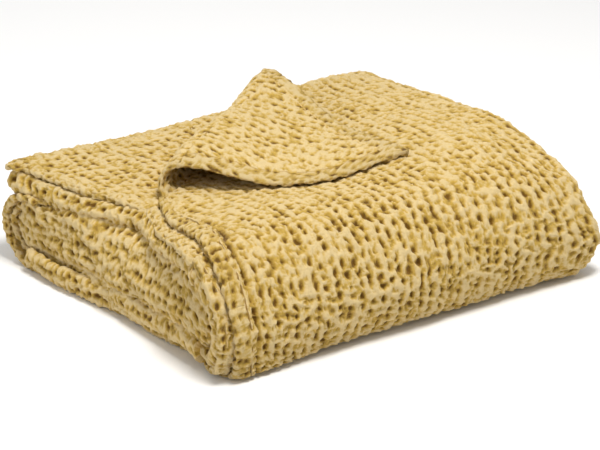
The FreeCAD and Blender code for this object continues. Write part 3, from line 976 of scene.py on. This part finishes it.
def bottom_cloth():
    """The bottom ply: flat on the table, with its left margin curled up the end face."""
    ys = steps(NEAR_Y, REAR_Y, FINE)
    mid, radius, rise, top_r = HALF, 8.0, 13.0, 3.6
    wall = steps(rise, 0, FINE)[:-1]
    arc = np.linspace(math.pi, math.pi / 2, 12)
    flat = steps(0, 1, COARSE / 380)[1:]
    wall_len, arc_len = rise, radius * math.pi / 2
    y = ys[:, None]
    c = curl(ys)[:, None]
    x_out = X_LEFT + 3.5 + curve(
        y, (-130, 17), (-95, 7), (-50, 4), (10, 2), (60, -5), (100, -10), (144, -11)
    )
    angle = c * math.pi / 2
    r = arc_len / np.maximum(angle, 1e-3)
    d = np.concatenate([wall_len - wall, wall_len + (math.pi - arc) * radius])
    d = d[None, :] + 0 * y
    # distance along the cloth from the point where the curl starts
    curled = wall_len + arc_len - d
    on_arc = np.minimum(curled, arc_len)
    beyond = np.maximum(curled - arc_len, 0)
    # the top of the margin rolls over inwards
    hook = np.clip(math.pi / 2 - d / top_r, 0, math.pi / 2)
    over = top_r * (1 - np.cos(hook))
    beyond = beyond - top_r * (hook - np.sin(hook))
    turn = on_arc / r
    x_start = x_out + 6 + r * np.sin(np.minimum(arc_len / r, angle)) + wall_len * np.cos(angle)
    x_a = x_start - r * np.sin(turn) - beyond * np.cos(angle) + over * np.sin(angle)
    z_a = mid + r * (1 - np.cos(turn)) + beyond * np.sin(angle) + over * np.cos(angle)
    face = np.where(beyond > 0, angle + hook, turn)
    x_f = x_start + flat[None, :] * (FOLD_X - x_start)
    x = np.concatenate([x_a, x_f], 1)
    n = np.concatenate([z_a, mid + 0 * x_f], 1)
    ox = np.concatenate([-np.sin(face), 0 * x_f], 1)
    on = np.concatenate([-np.cos(face), 0 * x_f - 1], 1)
    u = np.concatenate([x_start - curled, x_f], 1)
    v = along("bottom", mid, y) + 0 * x
    height, cavity = weave(u, v, 1.1, 0.3)
    height = height * np.concatenate([1 + 0 * x_a, np.broadcast_to(0.25 + 0 * flat, x_f.shape)], 1)
    skin = on_strip("bottom", x + ox * (HALF + height), np.maximum(n + on * (HALF + height), 0.2), y)
    back = on_strip("bottom", x - ox * (HALF - BACK_GAP), n - on * (HALF - BACK_GAP), y)
    piece = cloth("bottom_lap_cloth", skin, back, np.stack([u, v], -1), cavity)
    return cut_to(piece, (FOLD_X - x_start).mean() + arc_len + wall_len, np.ptp(ys))


root_pieces.append(bottom_cloth())

lap_ys = steps(NEAR_Y, REAR_Y, FINE)
rear_ts = steps(0, math.pi, FINE / 42)
# the rear fold's hems run a little way on to the laps
rear_hem_ts = steps(-0.12, math.pi + 0.24, FINE / 42)
inner_ts = steps(0, math.pi, FINE / 26)
upper_ys = steps(REAR_Y, INNER_Y, FINE)
lower_ys = steps(INNER_Y, LOWER_END, FINE)


def rear_ply_end(t):
    return X_LEFT + curve(t, (0, 0), (1.2, -2.5), (2.2, -3.5), (math.pi, 0))


def recess(y, more):
    """Where an upper inner ply ends, measured in from the top of the end face."""
    return end_face(y, 3 * LAP + 0 * y) + more


def bottom_lip(y):
    """Where the bottom lap's left fold bulges to."""
    return X_LEFT + curve(y, (-125, 4), (-40, 6.25), (60, 7), (144, 7))


def end_face(y, z):
    """How far in the inner laps' end face lies: it leans back towards the top lap."""
    lean = np.clip((z - LAP) / (2 * LAP), 0, 1)
    deep = curve(y, (-140, 4), (-90, 11), (-40, 19), (0, 25), (40, 20), (80, 11), (140, 2))
    return X_LEFT + 3 + lean * deep


def bundle_end():
    """The left folds of the two inner laps and of the folds that join them, pressed into one face."""
    near_c, rear_c = (INNER_Y + 2, 2 * LAP), (REAR_Y - 2, 1.62 * LAP)
    near_r, rear_r = LAP + 0.5, LAP + 4.0
    lap = steps(near_c[0], rear_c[0], FINE)
    near_arc, rear_arc = np.linspace(0, math.pi / 2, 40)[1:-1], np.linspace(math.pi / 2, 0, 42)[1:-1]
    y = np.concatenate([near_c[0] - near_r * np.cos(near_arc), lap, rear_c[0] + rear_r * np.cos(rear_arc)])
    share = np.clip((y - near_c[0]) / (rear_c[0] - near_c[0]), 0, 1)
    drop = smooth((share - 0.72) / 0.28)
    centre = near_c[1] + (rear_c[1] - near_c[1]) * drop
    radius = near_r + (rear_r - near_r) * drop
    middle = radius[len(near_arc):-len(rear_arc)]
    tall = np.concatenate([near_r * np.sin(near_arc), middle, rear_r * np.sin(rear_arc)])
    w = np.linspace(-1, 1, 50)[None, :]
    y, centre, tall, radius = y[:, None] + 0 * w, centre[:, None], tall[:, None], radius[:, None]
    z = centre + tall * np.sin(w * math.pi / 2)
    past = np.maximum(np.maximum(near_c[0] - y, y - rear_c[0]), 0)
    rho = np.clip(np.hypot(past, z - centre) / radius, 0, 1)
    lean = np.clip((z - LAP) / (2 * LAP), 0, 1)
    face = end_face(y, z)
    depth = 15.0 - 9.5 * lean * (1 - 1.3 * np.exp(-((y - 12) / 48) ** 2))
    x = face + depth * (1 - (1 - rho ** 2.6) ** (1 / 2.6))
    seam = np.exp(-((z - centre - 2 * noise(y / 40, 0 * z, 3)) / 2.0) ** 2) * smooth((0.9 - rho) / 0.2)
    seam = seam * (0.5 + 0.5 * noise(y / 33 + 4, 0 * z + 2, 5))
    height, cavity = weave(z * 1.05 + 140, y + 20, 1.15, 0.35)
    height = height + 2.2 * noise(y / 30, z / 17, 6) + 1.2 * noise(y / 15, z / 11, 7) - 2.4 * seam
    nx = np.clip(1 - rho ** 3, 0.15, 1)
    out = np.clip(rho, 0, 1) ** 4
    oy = np.sign(y - (near_c[0] + rear_c[0]) / 2) * past / np.maximum(radius, 1) * out
    oz = (z - centre) / radius * out
    scale = np.sqrt(nx ** 2 + oy ** 2 + oz ** 2)
    nx, oy, oz = nx / scale, oy / scale, oz / scale
    skin = np.stack(settle(x - nx * height, y + oy * height, z + oz * height), -1)
    back = np.stack(settle(x + 6 * nx, y - 6 * oy, z - 6 * oz), -1)
    uv = np.stack([z, y], -1)
    # painted shade: the cavity value is raised along the seam's crease
    piece = cloth("inner_laps_side_folds", skin, back, uv, np.clip(cavity + 0.3 * seam, 0, 1))
    return cut_to(piece, 70, 330)


def inner_ply(name, station, ts, reach, left, strength=1.0):
    """An outermost ply of the root's laps and folds; reach is where it ends beneath."""
    section = outer_section(FLAT_START, reach)
    return strip_cloth(name, station, ts, section, 0.0, strength, left)


root_pieces.append(bundle_end())
root_pieces += [
    far_fold("bottom_lap_far_fold", "bottom", lap_ys, FOLD_X - 60),
    inner_ply("rear_fold_cloth", "rear", rear_ts, X_LEFT + 40, lambda t: rear_ply_end(t) + 4),
    strip_band("rear_fold_hem", "rear", rear_hem_ts, rear_ply_end, HALF + 0.2, width=10, thick=7.4),
    strip_band(
        "rear_fold_second_hem", "rear", rear_hem_ts, lambda t: rear_ply_end(t) + 6 + 2 * np.sin(3 * t),
        1.5 * PLY - 0.2, width=18, thick=7.6, waffle=True,
    ),
    inner_ply("upper_lap_cloth", "upper", upper_ys, FOLD_X - 60, lambda t: recess(t, 32), 0.85),
    strip_band(
        "upper_lap_hem", "upper", upper_ys, lambda t: recess(t, 14 - 13 * smooth((t - 100) / 40)),
        HALF + 0.4, width=HEM, thick=6.4,
    ),
    inner_ply("inner_fold_cloth", "inner", inner_ts, X_RIGHT - 40, level(X_LEFT + 24), 0.85),
    inner_ply("lower_lap_cloth", "lower", lower_ys, FOLD_X - 60, level(X_LEFT + 24), 0.6),
    lip_cloth(
        "bottom_lap_side_fold", "bottom", lap_ys, bottom_lip, 20.5, 8.4, u_base=200,
        squash=0.8, tail_top=20,
    ),
]
root_pieces.append(
    rear_band("inner_end_hem", TOP - LAP - 14, X_LEFT + 20, FOLD_X, level(LOWER_END + 12), 18, 12)
)
for piece in root_pieces:
    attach(piece, "root")

# ---- which CAD solids each piece stands for ----

STANDS_FOR = {
    "top_ply_cloth": ["top_ply"],
    "top_lap_far_fold": ["top_lap_under_leaf"],
    "top_lap_second_ply": ["top_lap_inner_leaf"],
    "top_side_hem": ["top_side_hem"],
    "top_end_hem_cloth": ["top_end_hem"],
    "corner_fold_cloth": ["corner_loop_lower", "corner_loop_upper"],
    "corner_flap_cloth": ["corner_flap"],
    "corner_side_hem_cloth": ["corner_side_hem"],
    "corner_end_hem_cloth": ["corner_end_hem"],
    "bottom_lap_cloth": ["bottom_lap_outer_leaf", "bottom_lap_side_hem"],
    "bottom_lap_side_fold": ["bottom_lap_inner_leaf"],
    "rear_fold_cloth": ["rear_fold_outer_leaf"],
    "rear_fold_hem": ["rear_fold_side_hem"],
    "upper_lap_cloth": ["upper_inner_lap_outer_leaf"],
    "upper_lap_hem": ["upper_inner_lap_side_hem"],
    "inner_fold_cloth": ["inner_fold_outer_leaf", "inner_fold_side_hem"],
    "lower_lap_cloth": ["lower_inner_lap_outer_leaf", "lower_inner_lap_side_hem"],
    "inner_laps_side_folds": [
        "upper_inner_lap_inner_leaf", "inner_fold_inner_leaf",
        "lower_inner_lap_inner_leaf", "rear_fold_inner_leaf",
    ],
}
# the fold link's two lengths of the near fold are one piece here
NEAR_LENGTHS = {"head": ["head"], "middle": ["lower", "upper"], "foot": ["foot"]}
for arc, lengths in NEAR_LENGTHS.items():
    cloth_nodes = [f"near_fold_{part}_{leaf}_leaf" for part in lengths for leaf in ("outer", "inner")]
    STANDS_FOR[f"near_fold_{arc}_cloth"] = cloth_nodes
    STANDS_FOR[f"near_fold_{arc}_side_hem"] = [f"near_fold_{part}_side_hem" for part in lengths]
for name, nodes in STANDS_FOR.items():
    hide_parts(*nodes)

# ---- a loop over the sheets with a cut size, which does nothing with them ----


for name, piece in PIECES.items():
    if "flat" not in piece:
        continue

# ---- materials ----


def shade_node(nodes, kind, **settings):
    made = nodes.new(kind)
    for key, value in settings.items():
        setattr(made, key, value)
    return made


def set_inputs(node, values):
    for key, value in values.items():
        node.inputs[key].default_value = value


def yarn(name, lump, mid, pit, bump=0.8, rib=0.0):
    """Crinkled cotton: lump, mid and pit are linear colours from the tops of the cells to their pits; the
    cavity attribute paints shade by darkening towards the pit colour.
    """
    material = bpy.data.materials.new(name)
    material.use_nodes = True
    nodes, links = material.node_tree.nodes, material.node_tree.links
    shader = nodes["Principled BSDF"]
    set_inputs(shader, {
        "Base Color": (*mid, 1), "Roughness": 0.92, "Specular IOR Level": 0.12,
        "Sheen Weight": 0.18, "Sheen Roughness": 0.55, "Sheen Tint": (1.0, 0.9, 0.66, 1),
    })
    place = shade_node(nodes, "ShaderNodeUVMap", uv_map="weave")
    deep = shade_node(nodes, "ShaderNodeAttribute", attribute_name="cavity")

    def texture(kind, scale, detail, **settings):
        made = shade_node(nodes, kind, **settings)
        links.new(place.outputs["UV"], made.inputs["Vector"])
        made.inputs["Scale"].default_value = scale
        if "Detail" in made.inputs:
            made.inputs["Detail"].default_value = detail
        return made

    blotch = texture("ShaderNodeTexNoise", 6, 3)
    fleck = texture("ShaderNodeTexNoise", 60, 4)
    fibre = texture("ShaderNodeTexNoise", 160, 5)
    warp_yarn = texture("ShaderNodeTexWave", 34, 2, bands_direction="X", wave_profile="SIN")
    weft_yarn = texture("ShaderNodeTexWave", 38, 2, bands_direction="Y", wave_profile="SIN")
    for wave in (warp_yarn, weft_yarn):
        set_inputs(wave, {"Distortion": 5.0, "Detail Scale": 2.0})

    def maths(operation, a, b, clamp=False):
        made = shade_node(nodes, "ShaderNodeMath", operation=operation, use_clamp=clamp)
        for socket, value in zip(made.inputs, (a, b)):
            if isinstance(value, (int, float)):
                socket.default_value = value
            else:
                links.new(value, socket)
        return made.outputs[0]

    flecks = maths("MULTIPLY", maths("SUBTRACT", fleck.outputs["Fac"], 0.5), 0.35)
    blotches = maths("MULTIPLY", maths("SUBTRACT", blotch.outputs["Fac"], 0.5), 0.30)
    # painted shade: the cavity attribute, with random flecks and blotches of tone, picks the colour from lump
    # to pit
    depth = maths("ADD", maths("ADD", deep.outputs["Fac"], flecks), blotches, clamp=True)
    ramp = shade_node(nodes, "ShaderNodeValToRGB")
    ramp.color_ramp.elements[0].position = 0.02
    ramp.color_ramp.elements[0].color = (*lump, 1)
    ramp.color_ramp.elements[1].position = 0.85
    ramp.color_ramp.elements[1].color = (*pit, 1)
    ramp.color_ramp.elements.new(0.30).color = (*mid, 1)
    links.new(depth, ramp.inputs["Fac"])
    links.new(ramp.outputs["Color"], shader.inputs["Base Color"])
    crepe = texture("ShaderNodeTexNoise", 42, 5)
    crepe.inputs["Distortion"].default_value = 0.8
    fold_lines = maths("ABSOLUTE", maths("SUBTRACT", crepe.outputs["Fac"], 0.5), 0)
    weave_height = maths("MAXIMUM", warp_yarn.outputs["Fac"], weft_yarn.outputs["Fac"])
    fuzz = maths("ADD", maths("MULTIPLY", weave_height, 0.28), maths("MULTIPLY", fibre.outputs["Fac"], 0.7))
    fuzz = maths("ADD", fuzz, maths("MULTIPLY", fold_lines, -5.0))
    if rib:
        fuzz = maths("ADD", fuzz, maths("MULTIPLY", weft_yarn.outputs["Fac"], rib))
    relief = shade_node(nodes, "ShaderNodeBump")
    set_inputs(relief, {"Strength": bump, "Distance": 0.0011})
    links.new(fuzz, relief.inputs["Height"])
    links.new(relief.outputs["Normal"], shader.inputs["Normal"])
    rough = maths("ADD", maths("MULTIPLY", fleck.outputs["Fac"], 0.16), 0.80, clamp=True)
    links.new(rough, shader.inputs["Roughness"])
    return material


# the pit colours are painted shade for the weave's pits and grooves
LUMP_COLOUR = (0.810, 0.618, 0.302)
CLOTH = yarn("mustard_waffle_cotton", LUMP_COLOUR, (0.640, 0.412, 0.074), (0.185, 0.084, 0.003))
HEM_CLOTH = yarn("mustard_hem_cotton", LUMP_COLOUR, (0.645, 0.416, 0.078), (0.195, 0.090, 0.004), rib=0.2)
THREAD = yarn("mustard_thread", (0.780, 0.580, 0.250), (0.640, 0.425, 0.130), (0.300, 0.160, 0.025), 0.35)
for name, piece in PIECES.items():
    if "stitch" in name:
        finish, slot = THREAD, "hem_thread"
    elif "hem" in name:
        finish, slot = HEM_CLOTH, "hem_band"
    else:
        finish, slot = CLOTH, "woven_cloth"
    piece.data.materials.append(finish)

# ---- floor, lights and camera ----

floor_mesh = bpy.data.meshes.new("floor")
half_floor = 6.0
floor_corners = [(x * half_floor, y * half_floor, 0) for x, y in ((-1, -1), (1, -1), (1, 1), (-1, 1))]
floor_mesh.from_pydata(floor_corners, [], [(0, 1, 2, 3)])
floor = bpy.data.objects.new("floor", floor_mesh)
bpy.context.scene.collection.objects.link(floor)
paper = bpy.data.materials.new("white_paper")
paper.use_nodes = True
white = {"Base Color": (0.93, 0.93, 0.93, 1), "Roughness": 0.9, "Specular IOR Level": 0.1}
set_inputs(paper.node_tree.nodes["Principled BSDF"], white)
floor_mesh.materials.append(paper)

world = bpy.data.worlds.new("studio")
world.use_nodes = True
set_inputs(world.node_tree.nodes["Background"], {"Color": (1.0, 1.0, 1.0, 1), "Strength": 0.46})
bpy.context.scene.world = world

# the camera and the lamps look at a point a little off the middle of the CAD box
low, high = CAD_BOX
AIM = np.array([(low[0] + high[0]) / 2 - 0.0095, (low[1] + high[1]) / 2 - 0.0156, high[2] * 0.375])


def look_from(azimuth, elevation, distance):
    a, e = math.radians(azimuth), math.radians(elevation)
    return AIM + distance * np.array([math.sin(a) * math.cos(e), -math.cos(a) * math.cos(e), math.sin(e)])


def point_at(thing, place):
    thing.location = place
    towards = bpy.data.objects[thing.name].location - type(thing.location)(AIM)
    thing.rotation_euler = towards.to_track_quat("Z", "Y").to_euler()


def softbox(name, azimuth, elevation, distance, width, power, colour=(1, 1, 1)):
    light = bpy.data.lights.new(name, "AREA")
    light.shape, light.size, light.energy, light.color = "DISK", width, power, colour
    lamp = bpy.data.objects.new(name, light)
    bpy.context.scene.collection.objects.link(lamp)
    point_at(lamp, look_from(azimuth, elevation, distance))


softbox("key", -8, 72, 1.7, 0.55, 26, (1.0, 0.985, 0.955))
softbox("fill", -108, 24, 2.0, 1.2, 5, (1.0, 0.99, 0.97))
softbox("back", 170, 45, 1.9, 1.0, 4)

camera_data = bpy.data.cameras.new("camera")
camera_data.lens, camera_data.sensor_width = 200, 36
camera_data.clip_start, camera_data.clip_end = 0.1, 50
camera = bpy.data.objects.new("camera", camera_data)
bpy.context.scene.collection.objects.link(camera)
point_at(camera, look_from(-35.5, 22.5, 3.133))
bpy.context.scene.camera = camera
bpy.context.scene.view_settings.view_transform = "Standard"
